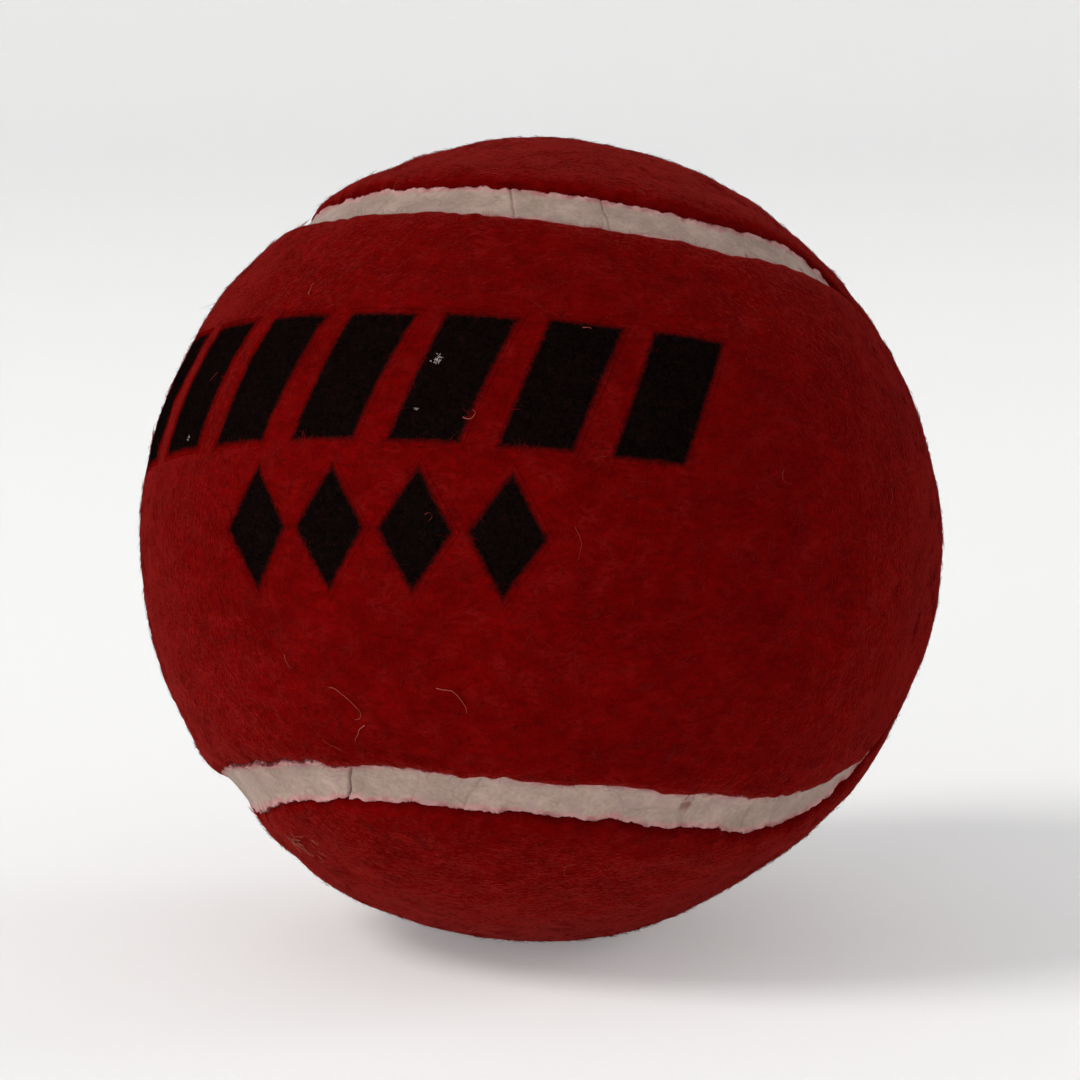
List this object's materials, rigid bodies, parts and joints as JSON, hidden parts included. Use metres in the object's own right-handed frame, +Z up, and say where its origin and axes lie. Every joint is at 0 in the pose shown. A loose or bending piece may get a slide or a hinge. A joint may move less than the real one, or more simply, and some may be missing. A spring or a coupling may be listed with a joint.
{
  "type": "felt-covered cricket ball",
  "caption": "Felt-covered hollow rubber ball with interlocking cloth covers, a pale recessed seam and a plain dark print, for soft-ball cricket.",
  "frame": {"origin": "centre of the ball", "axes": "+Z up as the ball lies in the picture, -Y towards the viewer, +X to the viewer's right"},
  "size_m": [0.0654, 0.0654, 0.0654],
  "materials": {
    "core_rubber": "matt moulded rubber",
    "bond_rubber": "matt",
    "cement": "dried rubber solution",
    "backing_cloth": "plain woven cotton",
    "red_felt": "napped wool and nylon felt, slightly fuzzy",
    "seam_rubber": "matt, finely cracked, with dye from the felt along its edges",
    "print_ink": "flat ink in the tips of the nap"
  },
  "bodies": {
    "root": {"core_half_front": "core_rubber", "core_half_back": "core_rubber", "core_bond": "bond_rubber", "cement_coat": "cement", "backing_a": "backing_cloth", "backing_b": "backing_cloth", "felt_cover_a": "red_felt", "felt_cover_b": "red_felt", "seam_strip": "seam_rubber", "printed_bars": "print_ink", "printed_diamonds": "print_ink"}
  },
  "joints": []
}
